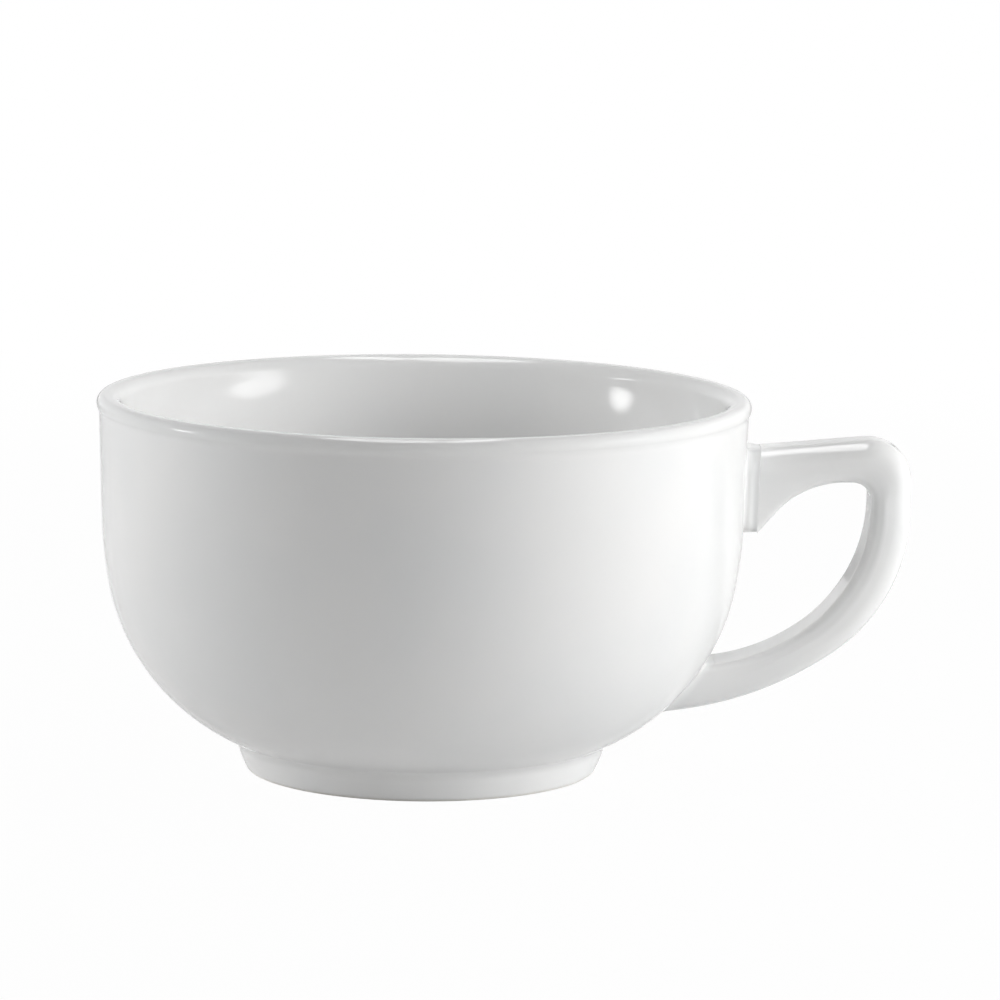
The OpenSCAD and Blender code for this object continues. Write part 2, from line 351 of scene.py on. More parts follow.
def glaze(name, wiped_below=None, painted_shade_past=None):
    """White glaze, with bare clay below a height and painted groove shade past a distance, where
    given.
    """
    material = bpy.data.materials.new(name)
    board = blank_board(material)
    where = board.add("ShaderNodeTexCoord")["Object"]
    place = board.add("ShaderNodeSeparateXYZ", {}, {"Vector": where})
    pooled = ramp(board, noise(board, where, POOL_SIZE), POOL_LOW, POOL_HIGH)
    colour = blend(board, pooled * POOL_SHARE, GLAZE_WHITE, GLAZE_POOLED)
    # painted shade: past a distance from the axis the joins' glaze turns darker grey, where the
    # groove is shaded
    if painted_shade_past is not None:
        thick = ramp(board, place["X"], painted_shade_past - PAINTED_SHADE_EDGE, painted_shade_past + PAINTED_SHADE_EDGE)
        colour = blend(board, thick, colour, PAINTED_GROOVE_SHADE)
    gloss = GLAZE_GLOSS + GLOSS_CHANGE * noise(board, where, GLOSS_SIZE, detail=4.0)
    ripple = (noise(board, where, RIPPLE_SIZE, detail=1.0)
              + FINE_SHARE * noise(board, where, FINE_SIZE))
    if wiped_below is not None:
        edge = wiped_below + WIPED_EDGE * noise(board, where, WIPED_SIZE)
        bare = 1 - ramp(board, place["Z"] - edge, 0.0, WIPED_EDGE)
        grain = noise(board, where, GRAIN_SIZE, detail=4.0)
        clay = blend(board, grain * GRAIN_SHARE, BARE_CLAY, GLAZE_POOLED)
        colour = blend(board, bare, colour, clay)
        gloss = gloss + bare * (CLAY_MATT - GLAZE_GLOSS)
        ripple = ripple * (1 - bare) + bare * (GRAIN_HEIGHT * grain - CLAY_SUNK)
    bump = board.add("ShaderNodeBump", {}, {
        "Strength": 1.0, "Distance": RIPPLE_HEIGHT, "Height": ripple,
    })
    shader = board.add("ShaderNodeBsdfPrincipled", {}, {
        "Base Color": colour, "Roughness": gloss, "Normal": bump, "IOR": GLASS_IOR,
    })
    board.add("ShaderNodeOutputMaterial", {}, {"Surface": shader})
    return material


white_glaze = glaze("white_glaze")
foot_glaze = glaze("foot_glaze", wiped_below=WIPED_BELOW)
# the joins' finish carries the painted shade of the groove
join_glaze = glaze("join_glaze", painted_shade_past=PAINTED_SHADE_PAST_X)
print("finishes:", [material.name for material in (white_glaze, foot_glaze, join_glaze)])

# %% [markdown]
# ## The wheel
#
# The bowl and its foot are round about one axis, as they were on the wheel. One way to make
# them is to spin an outline with a Screw modifier. Here a tree does it: it lays a grid of
# points, reads the outline point of each row and swings it to its column's angle, then welds
# the seam and the poles. Doing it by formula leaves room for what a real firing does: the form
# comes out of the kiln very slightly out of round, by a tenth of a millimetre or so. The seed
# of that wobble is an input, so the cup is the same each time.

# %% Build the wheel
WOBBLE_WAVES = 0.9       # waves of the wobble over one radius of the cup
wheel, given = open_tree("wheel", {
    "Columns": "NodeSocketInt", "Wobble": "NodeSocketFloat", "Full radius": "NodeSocketFloat",
    "Seed": "NodeSocketInt", "Hard turn": "NodeSocketFloat", "Glaze": "NodeSocketMaterial",
})
rows = count_points(wheel, given)
index = wheel.add("GeometryNodeInputIndex")
row = index % rows
angle = (index - row) / rows / given["Columns"] * math.tau
outline = read(wheel, given, wheel.add("GeometryNodeInputPosition"), row)
parts = wheel.add("ShaderNodeSeparateXYZ", {}, {"Vector": outline})
across, along = angle.math("COSINE", angle), angle.math("SINE", angle)
spot = wheel.add("ShaderNodeCombineXYZ", {}, {
    "X": across, "Y": along, "Z": parts["Z"] / given["Full radius"],
})
wobble = wheel.add("ShaderNodeTexNoise", {"noise_dimensions": "4D"}, {
    "Vector": spot, "W": given["Seed"], "Scale": WOBBLE_WAVES, "Detail": 1.0,
})
radius = parts["X"] * (1 - given["Wobble"] * wobble / given["Full radius"])
swung = wheel.add("ShaderNodeCombineXYZ", {}, {
    "X": radius * across, "Y": radius * along, "Z": parts["Z"],
})
close_tree(wheel, given, lay_grid(wheel, given["Columns"] + 1, rows, swung))
print("wheel:", len(wheel.tree.nodes), "nodes")

# %% [markdown]
# ## The bowl
#
# The bowl is one thick shell: a belly that rises from the foot, a side that is almost upright,
# a rolled bead at the lip, and an inside that leans in more than the outside does, so that the
# wall grows thicker from the lip down and keeps the drink warm. It is the same chain of arcs as
# in the construction model, so every curve runs into the next without a corner. The overall
# sizes are read from the frame. The radii of the curves are written here again, because the
# frame holds only surfaces.

# %% Read the bowl's sizes from the frame
bowl_low, bowl_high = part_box("bowl")
FOOT_H = bowl_low.z
CUP_H = bowl_high.z
LIP_R = bowl_high.x
BEAD_OVERHANG = 0.5 * MM
BEAD_R = 1.6 * MM
BEAD_HOLLOW_R = 2.5 * MM
LIP_INNER_R = 2.4 * MM
LIP_LEAN = 4.5           # degrees that the inside leans at the lip's inner edge
LIP_HOLLOW_R = 45 * MM   # hollow curve that brings it to its full lean
INNER_LEAN = 14
INNER_BELLY_R = 27 * MM
WALL_R = LIP_R - BEAD_OVERHANG
WALL_T = 4.0 * MM        # just under the lip
WALL_LEAN = 1.5
SIDE_R, SIDE_TURN = 82 * MM, 9.8
BELLY_R, BELLY_DIP = 38.2 * MM, 0.7 * MM
NECK_R = 3.1 * MM
NECK_LEAN = 15           # lean at which the neck runs on into the foot
FOOT_TAPER = 1.3 * MM    # how far the foot's outer side leans in towards the table
FOOT_EDGE_R = 0.5 * MM   # rounding of the standing face's edges
FLOOR_T = 4.2 * MM
print("lip radius", round(LIP_R / MM, 2), "mm, height", round(CUP_H / MM, 2), "mm")

# %% Draw arcs and straight runs
ARC_STEP = 3.0           # degrees between two points of a tight arc
ARC_SPACING = 1.4 * MM   # room between two points of a wide arc
RUN_SPACING = 2 * ARC_SPACING   # room between two points of a straight run
SAME_PLACE = 1e-9        # two points nearer than this are one


def sine(degrees):
    return math.sin(math.radians(degrees))


def cosine(degrees):
    return math.cos(math.radians(degrees))


def tangent(degrees):
    return math.tan(math.radians(degrees))


def towards(degrees, length=1.0):
    """A step of that length at an angle."""
    return length * np.array([cosine(degrees), sine(degrees)])


def on_circle(centre, radius, degrees):
    """The point of a circle at an angle."""
    return np.array(centre) + towards(degrees, radius)


def arc(centre, radius, start, end):
    """Points of an arc from one angle to another, close enough to look round."""
    length = radius * math.radians(abs(end - start))
    count = max(2, math.ceil(abs(end - start) / ARC_STEP), math.ceil(length / ARC_SPACING))
    return [on_circle(centre, radius, a) for a in np.linspace(start, end, count + 1)]


def chain(*runs):
    """Joins runs of points and fills each straight gap between them with evenly spaced points."""
    points = [np.array(runs[0][0])]
    for run in runs:
        for point in run:
            last = points[-1]
            gap = np.linalg.norm(point - last)
            if gap > SAME_PLACE:
                pieces = max(1, math.ceil(gap / RUN_SPACING))
                points += [last + (point - last) * k / pieces for k in range(1, pieces + 1)]
    return points


# %% Work out the bowl's outline
bead_turn = math.degrees(math.acos(1 - BEAD_OVERHANG / (BEAD_R + BEAD_HOLLOW_R)))
bead_z = CUP_H - BEAD_R
wall_top_z = bead_z - (BEAD_R + BEAD_HOLLOW_R) * sine(bead_turn)
belly_z = FOOT_H - BELLY_DIP + BELLY_R
side_z = belly_z + (SIDE_R - BELLY_R) * sine(SIDE_TURN)
side_top_z = side_z - SIDE_R * sine(WALL_LEAN)
side_x = WALL_R - (wall_top_z - side_top_z) * tangent(WALL_LEAN) - SIDE_R * cosine(WALL_LEAN)
belly_x = side_x + (SIDE_R - BELLY_R) * cosine(SIDE_TURN)
neck_rise = belly_z - FOOT_H
neck_run = math.sqrt((BELLY_R + NECK_R) ** 2 - neck_rise ** 2)
neck_angle = math.degrees(math.atan2(neck_rise, neck_run))
foot_top_r = belly_x + neck_run - NECK_R

# The foot's outer side, one gentle swell from the edge at the table up into the neck. Its lower
# lean and its lower end depend on each other, and a few rounds settle both.
SWELL_ROUNDS = 4
foot_base_r = foot_top_r - FOOT_TAPER
foot_edge = (foot_base_r - FOOT_EDGE_R, FOOT_EDGE_R)
neck_centre = (foot_top_r + NECK_R, FOOT_H)
neck_end = on_circle(neck_centre, NECK_R, 180 - NECK_LEAN)
foot_lean = 2 * NECK_LEAN
for _ in range(SWELL_ROUNDS):
    run, rise = neck_end - on_circle(foot_edge, FOOT_EDGE_R, -foot_lean)
    foot_lean = 2 * math.degrees(math.atan2(run, rise)) - NECK_LEAN
swell_r = math.hypot(run, rise) / (2 * sine((foot_lean - NECK_LEAN) / 2))
swell_centre = neck_end - towards(-NECK_LEAN, swell_r)
seam_angle = math.degrees(math.asin((FOOT_H - swell_centre[1]) / swell_r))
seam = on_circle(swell_centre, swell_r, seam_angle)

outer_line = chain(
    arc(swell_centre, swell_r, seam_angle, -NECK_LEAN),
    arc(neck_centre, NECK_R, 180 - NECK_LEAN, 180 - neck_angle),
    arc((belly_x, belly_z), BELLY_R, -neck_angle, -SIDE_TURN),
    arc((side_x, side_z), SIDE_R, -SIDE_TURN, -WALL_LEAN),
    arc((WALL_R + BEAD_HOLLOW_R, wall_top_z), BEAD_HOLLOW_R, 180, 180 - bead_turn),
    arc((LIP_R - BEAD_R, bead_z), BEAD_R, -bead_turn, 90),
)
print("outside of the bowl:", len(outer_line), "points; the foot leans in by",
      round(NECK_LEAN), "to", round(foot_lean), "degrees")

# %% Work out the inside of the bowl
lip_edge = np.array([WALL_R - WALL_T + LIP_INNER_R * cosine(LIP_LEAN), CUP_H - LIP_INNER_R])
hollow_top = on_circle(lip_edge, LIP_INNER_R, 180 - LIP_LEAN)
hollow_centre = on_circle(hollow_top, LIP_HOLLOW_R, 180 - LIP_LEAN)
hollow_end = on_circle(hollow_centre, LIP_HOLLOW_R, -INNER_LEAN)
floor_z = FOOT_H + FLOOR_T
inner_belly_z = floor_z + INNER_BELLY_R
inner_belly_x = (hollow_end[0] - (hollow_end[1] - inner_belly_z) * tangent(INNER_LEAN)
                 - INNER_BELLY_R / cosine(INNER_LEAN))
inner_line = chain(
    arc(lip_edge, LIP_INNER_R, 90, 180 - LIP_LEAN),
    arc(hollow_centre, LIP_HOLLOW_R, -LIP_LEAN, -INNER_LEAN),
    arc((inner_belly_x, inner_belly_z), INNER_BELLY_R, -INNER_LEAN, -90),
    [np.array([0.0, floor_z])],
)
print("inside of the bowl:", len(inner_line), "points; floor at", round(floor_z / MM, 2), "mm")

# %% Turn the bowl
COLUMNS = 192            # points round the cup
WOBBLE = 0.12 * MM       # how far the form is out of round
WHEEL_SEED = 7           # sets where the wobble's waves fall


def turn_on_wheel(name, line, material, wobble=WOBBLE):
    """Spins an outline of radius and height round the cup's axis."""
    start = points_mesh(name + "_outline", [(r, 0.0, z) for r, z in line])
    return run_tree(name, start, wheel, {
        "Columns": COLUMNS, "Wobble": wobble, "Full radius": WALL_R,
        "Seed": WHEEL_SEED, "Hard turn": HARD_TURN, "Glaze": material,
    })


underside = [np.array([0.0, FOOT_H]), seam]
cup_bowl = turn_on_wheel("cup_bowl", chain(underside, outer_line, inner_line), white_glaze)
report(cup_bowl)

# %% [markdown]
# ## The foot ring
#
# The foot is trimmed on the wheel: its outer side leans in towards the table, its inner side
# opens a little, and the standing face between them is narrow and flat. Where the ring meets
# the floor, the trimming tool leaves a small hollow curve. The photo shows no crease between
# the ring and the neck above it, so one gentle swell runs through both, up to 0.2 mm inside
# the plain corner of the construction model. It is turned on the same wheel as the bowl.

# %% Turn the foot ring
FOOT_W = 4.4 * MM
FOOT_DRAFT = 0.8 * MM    # how far the inner side opens towards the table
FOOT_INNER_ROUND = 1.2 * MM
FOOT_INNER_LEAN = 15     # degrees at which the hollow curve meets the inner side
foot_inner_r = foot_base_r - FOOT_W
hollow_r = foot_inner_r - FOOT_DRAFT - FOOT_INNER_ROUND
foot_line = chain(
    [np.array([hollow_r, FOOT_H])],
    arc((hollow_r, FOOT_H - FOOT_INNER_ROUND), FOOT_INNER_ROUND, 90, FOOT_INNER_LEAN),
    arc((foot_inner_r + FOOT_EDGE_R, FOOT_EDGE_R), FOOT_EDGE_R, 180 + FOOT_INNER_LEAN, 270),
    arc(foot_edge, FOOT_EDGE_R, 270, 360 - foot_lean),
    arc(swell_centre, swell_r, -foot_lean, seam_angle),
    [np.array([hollow_r, FOOT_H])],
)
cup_foot = turn_on_wheel("cup_foot_ring", foot_line, foot_glaze)
report(cup_foot)

# %% [markdown]
# ## The handle
#
# The handle is a cast strap, 13 mm wide. Its outside and its inside are two lines in the plane
# of the axis, each a chain of arcs, and its section is a rounded rectangle with softer edges
# outside than inside. It could be a curve with a bevel object, but the strap's thickness
# changes along the way, and most of all in the gusset under the top bar. So a tree lays one
# ring of the section at each station, between a point of the inner line and the facing point of
# the outer one. The strap runs on into the cup and is then cut to the cup's curve, with the
# slip's thickness left free, as a potter cuts the handle's ends to fit.

# %% Walk along the strap's two lines
handle_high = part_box("handle")[1]
HANDLE_X, HANDLE_TOP, STRAP_W = handle_high.x, handle_high.z, 2 * handle_high.y
GRIP_T, BAR_T = 7.3 * MM, 7.4 * MM
CORNER_OUT_R, CORNER_IN_R = 7.3 * MM, 3.4 * MM   # the sharp upper corner
GRIP_OUT_LEN, GRIP_IN_LEN = 5.9 * MM, 0.8 * MM   # straight runs below it
BAR_FALL, BAR_BEND_R = 5.1, 20 * MM   # degrees that the bar's top falls towards the cup
TAIL_H, TAIL_DEPTH = 11.3 * MM, 8.7 * MM   # where the bends end: outside, and inside above that
SWEEP_TURN, TAIL_TURN = 54.5, 27   # degrees of the two bends below the grip
TAIL_OUT_R, TAIL_IN_R = 61.8 * MM, 35 * MM
GUSSET_R, GUSSET_TURN, GUSSET_LEAD = 16.5 * MM, 49, 1.2 * MM


def walk(start, heading, stretches, counts):
    """Points along bends (radius, turn) and straight runs (length, 0), each with its count."""
    here, points = np.array(start, float), []
    for (size, turn), count in zip(stretches, counts):
        share = np.arange(count)[:, None] / count
        if turn == 0:
            points.append(here + share * size * towards(heading))
            here = here + size * towards(heading)
        else:
            centre = on_circle(here, math.copysign(size, turn), heading + 90)
            first = heading - math.copysign(90, turn)
            bend = [on_circle(centre, size, first + f * turn) for f in share[:, 0]]
            points.append(np.array(bend))
            here = on_circle(centre, size, first + turn)
            heading += turn
    return np.vstack([*points, here])


# %% Draw the outer and the inner line
ROOT_RUN = 19 * MM       # how far both lines run on into the cup before they are cut
FRONT_COUNTS = [30, 6, 44, 34, 10]   # steps of each stretch from the corner down to the tail
BACK_COUNTS = [3, 30, 10]   # and from the corner along the bar
outer_start = (HANDLE_X - CORNER_OUT_R, HANDLE_TOP)
inner_start = (HANDLE_X - GRIP_T - CORNER_IN_R, HANDLE_TOP - BAR_T)
tail_rise = sine(SWEEP_TURN + TAIL_TURN) - sine(SWEEP_TURN)
sweep_out_r = (HANDLE_TOP - CORNER_OUT_R - GRIP_OUT_LEN - TAIL_H
               - TAIL_OUT_R * tail_rise) / sine(SWEEP_TURN)
sweep_in_r = (HANDLE_TOP - BAR_T - CORNER_IN_R - GRIP_IN_LEN - TAIL_H - TAIL_DEPTH
              - TAIL_IN_R * tail_rise) / sine(SWEEP_TURN)
gusset_end_x = inner_start[0] - GUSSET_LEAD - GUSSET_R * sine(GUSSET_TURN)
bar_bend_x = outer_start[0] - BAR_BEND_R * sine(BAR_FALL)
run_in = gusset_end_x - WALL_R + 2 * WALL_T

outer_front = walk(outer_start, 0, [
    (CORNER_OUT_R, -90), (GRIP_OUT_LEN, 0), (sweep_out_r, -SWEEP_TURN),
    (TAIL_OUT_R, -TAIL_TURN), (ROOT_RUN, 0)], FRONT_COUNTS)
inner_front = walk(inner_start, 0, [
    (CORNER_IN_R, -90), (GRIP_IN_LEN, 0), (sweep_in_r, -SWEEP_TURN),
    (TAIL_IN_R, -TAIL_TURN), (ROOT_RUN, 0)], FRONT_COUNTS)
outer_back = walk(outer_start, 180, [
    (BAR_BEND_R, BAR_FALL), ((bar_bend_x - gusset_end_x) / cosine(BAR_FALL), 0),
    (run_in / cosine(BAR_FALL), 0)], BACK_COUNTS)
inner_back = walk(inner_start, 180, [
    (GUSSET_LEAD, 0), (GUSSET_R, GUSSET_TURN), (run_in / cosine(GUSSET_TURN), 0)], BACK_COUNTS)
strap_out = np.vstack([outer_back[:0:-1], outer_front])
strap_in = np.vstack([inner_back[:0:-1], inner_front])
print("strap:", len(strap_out), "stations")

# %% [markdown]
# The section is kept as points of three numbers: a share of the strap's thickness, a fixed
# distance to add to it, and the place across the strap. Then one section fits every station,
# and its edges keep their radius where the strap grows thicker. Its sides are crowned a little,
# as a cast piece is that has to leave its mould.

# %% Draw the strap's section
OUTER_EDGE_R, INNER_EDGE_R = 4.2 * MM, 1.7 * MM
EDGE_STEPS = 9           # points of a rounded edge
FLAT_STEPS = [4, 8, 4, 6]   # points on each flat between two edges
SIDE_CROWN = 0.12 * MM   # how far the middle of a side stands proud of its edges


def section_corner(share, offset, middle, radius, first):
    """A rounded edge of the section, as (share of thickness, offset, place across)."""
    turned = np.radians(np.linspace(first, first + 90, EDGE_STEPS))
    return [(share, offset + radius * math.cos(a), middle + radius * math.sin(a)) for a in turned]


def between(first, last, count, bulge):
    """Points on a flat of the section, with a slight crown."""
    first, last = np.array(first), np.array(last)
    crown = np.array([0.0, *bulge])
    return [tuple(first + (last - first) * f + 4 * f * (1 - f) * crown)
            for f in np.linspace(0, 1, count + 2)[1:-1]]


half_w = STRAP_W / 2 - SIDE_CROWN
corners = [
    section_corner(1.0, -OUTER_EDGE_R, half_w - OUTER_EDGE_R, OUTER_EDGE_R, 0),
    section_corner(0.0, INNER_EDGE_R, half_w - INNER_EDGE_R, INNER_EDGE_R, 90),
    section_corner(0.0, INNER_EDGE_R, INNER_EDGE_R - half_w, INNER_EDGE_R, 180),
    section_corner(1.0, -OUTER_EDGE_R, OUTER_EDGE_R - half_w, OUTER_EDGE_R, 270),
]
bulges = [(0.0, SIDE_CROWN), (0.0, 0.0), (0.0, -SIDE_CROWN), (0.0, 0.0)]
next_corners = corners[1:] + corners[:1]
section = []
for corner, following, count, bulge in zip(corners, next_corners, FLAT_STEPS, bulges):
    section += corner + between(corner[-1], following[0], count, bulge)
section = np.array(section)
print("section:", len(section), "points")

# %% [markdown]
# The tree below reads the inner line as its geometry, the facing points of the outer line from
# an attribute, and the section from a second object. The two end rings are drawn in to a point,
# so the strap is closed before it is cut.

# %% Build the strap's tree
strap, given = open_tree("strap", {
    "Section": "NodeSocketObject", "Cup form": "NodeSocketObject",
    "Hard turn": "NodeSocketFloat", "Glaze": "NodeSocketMaterial",
})
section_points = strap.add("GeometryNodeObjectInfo", {}, {"Object": given["Section"]})["Geometry"]
stations, around = count_points(strap, given), count_points(strap, section_points)
rows = around + 1        # the last point of a ring lies on its first
index = strap.add("GeometryNodeInputIndex")
step = index % rows
station = (index - step) / rows
position = strap.add("GeometryNodeInputPosition")


def named(board, name, kind):
    """A named attribute."""
    return board.add("GeometryNodeInputNamedAttribute", {"data_type": kind}, {"Name": name})


inside = read(strap, given, position, station)
facing = read(strap, given, named(strap, "facing", "FLOAT_VECTOR"), station)
fullness = read(strap, given, named(strap, "fullness", "FLOAT"), station, "FLOAT")
spot = strap.add("ShaderNodeSeparateXYZ", {}, {
    "Vector": read(strap, section_points, position, step % around)})
thickness = vector_math("DISTANCE", inside, facing)["Value"]
outward = vector_math("NORMALIZE", vector_math("SUBTRACT", facing, inside))
height = 0.5 * thickness + fullness * ((spot["X"] - 0.5) * thickness + spot["Y"])
raised = strap.add("ShaderNodeVectorMath", {"operation": "SCALE"}, {0: outward, "Scale": height})
sideways = strap.add("ShaderNodeCombineXYZ", {}, {"Y": fullness * spot["Z"]})
on_ring = vector_math("ADD", vector_math("ADD", inside, raised), sideways)
cutter = strap.add("GeometryNodeObjectInfo", {}, {"Object": given["Cup form"]})["Geometry"]
cut = strap.add("GeometryNodeMeshBoolean", {"operation": "DIFFERENCE", "solver": "EXACT"}, {
    "Mesh 1": lay_grid(strap, stations, rows, on_ring), "Mesh 2": cutter})
close_tree(strap, given, cut)
print("strap:", len(strap.tree.nodes), "nodes")

# %% Shape the cup's form that cuts the strap
COLLAR_T, TAIL_SLIP_T = 2.4 * MM, 1.0 * MM   # room left free for the slip at each root
FORM_ROWS = 40           # rows of the form below and above its step
FORM_LIFT = 0.5 * MM     # how far above the bowl's underside it starts
FORM_STEP = 0.1 * MM     # height of the step
collar_low, collar_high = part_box("upper_slip_join")
parting_z = (collar_low.z + FOOT_H) / 2   # height of the step, between the two roots
outer_r = np.array([point[0] for point in outer_line])
outer_z = np.array([point[1] for point in outer_line])


def cup_radius(z):
    """Radius of the cup's outside at a height, below the bead."""
    return np.interp(z, outer_z[outer_z < wall_top_z], outer_r[outer_z < wall_top_z])


heights_low = np.linspace(FOOT_H + FORM_LIFT, parting_z, FORM_ROWS)
heights_high = np.linspace(parting_z + FORM_STEP, wall_top_z, FORM_ROWS)
form_line = (
    [np.array([0.0, heights_low[0]])]
    + [np.array([cup_radius(z) + TAIL_SLIP_T, z]) for z in heights_low]
    + [np.array([cup_radius(z) + COLLAR_T, z]) for z in heights_high]
    + [np.array([0.0, wall_top_z])]
)
cup_form = turn_on_wheel("cup_form", form_line, white_glaze, wobble=0.0)
report(cup_form)

# %% Lay and cut the strap
inner_points = points_mesh("strap_inside", [(x, 0.0, z) for x, z in strap_in])
outer_points = np.array([(x, 0.0, z) for x, z in strap_out])
ring_sizes = [0.0] + [1.0] * (len(strap_in) - 2) + [0.0]
inner_points.attributes.new("facing", "FLOAT_VECTOR", "POINT")
inner_points.attributes["facing"].data.foreach_set("vector", outer_points.ravel())
inner_points.attributes.new("fullness", "FLOAT", "POINT")
inner_points.attributes["fullness"].data.foreach_set("value", ring_sizes)
section_object = put("strap_section", points_mesh("strap_section", section))
cup_handle = run_tree("cup_handle", inner_points, strap, {
    "Section": section_object, "Cup form": cup_form, "Hard turn": HARD_TURN, "Glaze": white_glaze,
})
for helper in (section_object, cup_form):
    bpy.data.objects.remove(helper)
report(cup_handle)

# %% [markdown]
# ## The slip joins
#
# The handle is stuck on with slip, which is clay thinned with water. At the upper root it
# squeezes out into a collar that is wider than the strap, and a brush smoothed its outer edge
# down to the strap. The collar ends below in a small level step. It is built as a stack of
# rounded rectangles that follow the wall's curve, each one drawn in or let out according to
# its distance from the wall.

# %% Wrap the collar round the wall
COLLAR_LOW_R = 2.2 * MM   # corners below, which tighten as the edge is drawn in
COLLAR_HIGH_R = 3.9 * MM   # corners above, which follow the strap's round edges
CORNER_POINTS = 13       # points of a corner before they are spaced evenly
COLLAR_POINTS = 96       # evenly spaced points of a whole loop
COLLAR_PROFILE = [       # distance from the wall and how far the edge is drawn in, in mm
    (-0.6, -0.3), (-0.05, -0.4), (0.1, -0.2), (0.25, -0.08), (0.45, -0.01), (0.7, 0.0),
    (0.95, 0.03), (1.15, 0.09), (1.35, 0.19), (1.55, 0.32), (1.75, 0.45), (1.95, 0.56),
    (2.15, 0.63), (2.3, 0.67), (2.38, 0.73), (2.42, 0.9), (2.5, 1.4),
]
LEVEL_DRAW = 0.15        # share of the drawing-in that the collar's top and bottom take


def rounded_upright(half_width, low, high, low_radius, high_radius, count):
    """Evenly spaced points round an upright rounded rectangle, as (y, z)."""
    corners = [(1, high - high_radius, high_radius), (-1, high - high_radius, high_radius),
               (-1, low + low_radius, low_radius), (1, low + low_radius, low_radius)]
    points = []
    for quarter, (side, z, radius) in enumerate(corners):
        centre = (side * (half_width - radius), z)
        turns = 90 * quarter + np.linspace(0, 90, CORNER_POINTS)
        points += [on_circle(centre, radius, turn) for turn in turns]
    points = np.array(points + [points[0]])
    lengths = np.concatenate([[0], np.cumsum(np.linalg.norm(np.diff(points, axis=0), axis=1))])
    places = np.linspace(0, lengths[-1], count, endpoint=False)
    return np.column_stack([np.interp(places, lengths, points[:, k]) for k in (0, 1)])


def skin(shape, rings):
    """Lays faces from each ring of points to the next one."""
    for ring, following in zip(rings, rings[1:]):
        for k in range(len(ring)):
            turn = (k + 1) % len(ring)
            shape.faces.new((ring[k], ring[turn], following[turn], following[k]))


def finish_shape(name, shape, material):
    """Turns faces outwards, smooths them, marks hard edges and links the piece."""
    bmesh.ops.recalc_face_normals(shape, faces=shape.faces)
    for face in shape.faces:
        face.smooth = True
    for edge in shape.edges:
        edge.smooth = len(edge.link_faces) == 2 and edge.calc_face_angle() < HARD_TURN
    mesh = bpy.data.meshes.new(name)
    shape.to_mesh(mesh)
    shape.free()
    mesh.materials.append(material)
    return put(name, mesh)


collar_shape = bmesh.new()
collar_rings = []
for away, drawn_in in COLLAR_PROFILE:
    inset = drawn_in * MM
    loop = rounded_upright(
        collar_high.y - inset,
        collar_low.z + inset * LEVEL_DRAW, collar_high.z - inset * LEVEL_DRAW,
        COLLAR_LOW_R - inset, COLLAR_HIGH_R, COLLAR_POINTS)
    reach = cup_radius(loop[:, 1]) + away * MM
    loop = np.column_stack([np.sqrt(reach ** 2 - loop[:, 0] ** 2), loop])
    collar_rings.append([collar_shape.verts.new(tuple(point)) for point in loop])
skin(collar_shape, collar_rings)
for ring in (collar_rings[0], collar_rings[-1]):
    centre = collar_shape.verts.new(sum((v.co for v in ring), Vector()) / len(ring))
    for corner, following in zip(ring, ring[1:] + ring[:1]):
        collar_shape.faces.new((corner, following, centre))
handle_collar = finish_shape("handle_collar", collar_shape, join_glaze)
report(handle_collar)

# %% [markdown]
# At the lower root the slip is wiped to a smooth hollow fillet all round the tail. For each
# line that runs along the strap's skin, the point is found where it meets the belly. A curve
# then leaves the strap a little before that point and reaches the belly a little beside it,
# so the fillet runs into both without a step.

# %% Fill the cove round the tail
COVE_ALONG = 2.0 * MM    # where the fillet leaves the strap
COVE_BESIDE = 1.3 * MM   # where it reaches the belly
COVE_SUNK = 0.3 * MM     # how deep its hidden back lies in the clay
COVE_STEPS = 8           # points of the fillet's curve
SKIN_RINGS = 400         # rings on which the meeting with the belly is looked for
SKIN_END = 2.001         # keeps the last ring just before the last station but one


def strap_skin(place):
    """The strap's skin at a station or between two: its points and their outward directions."""
    lower = int(place)
    mix = place - lower
    inner = strap_in[lower] * (1 - mix) + strap_in[lower + 1] * mix
    outer = strap_out[lower] * (1 - mix) + strap_out[lower + 1] * mix
    thick = np.linalg.norm(outer - inner)
    out = (outer - inner) / thick
    rise = section[:, 0] * thick + section[:, 1]
    points = np.column_stack([inner[0] + rise * out[0], section[:, 2], inner[1] + rise * out[1]])
    side_step = np.roll(section[:, 2], -1) - np.roll(section[:, 2], 1)
    rise_step = np.roll(rise, -1) - np.roll(rise, 1)
    normal = np.column_stack([side_step * out[0], -rise_step, side_step * out[1]])
    normal *= -1 if (normal[0] @ np.array([out[0], 0, out[1]])) < 0 else 1
    return points, normal / np.linalg.norm(normal, axis=1)[:, None]


tail_first = len(strap_in) - 1 - FRONT_COUNTS[-1] - FRONT_COUNTS[-2]
places = np.linspace(tail_first, len(strap_in) - SKIN_END, SKIN_RINGS)
skins, normals = map(np.array, zip(*[strap_skin(place) for place in places]))
clearance = np.hypot(skins[:, :, 0], skins[:, :, 1]) - cup_radius(skins[:, :, 2])
walked = np.concatenate([np.zeros((1, len(section))),
                         np.cumsum(np.linalg.norm(np.diff(skins, axis=0), axis=2), axis=0)])


def on_belly(point, sunk=0.0):
    """The point moved level to the cup's outside, or a little under it."""
    scale = (cup_radius(point[2]) - sunk) / math.hypot(point[0], point[1])
    return np.array([point[0] * scale, point[1] * scale, point[2]])


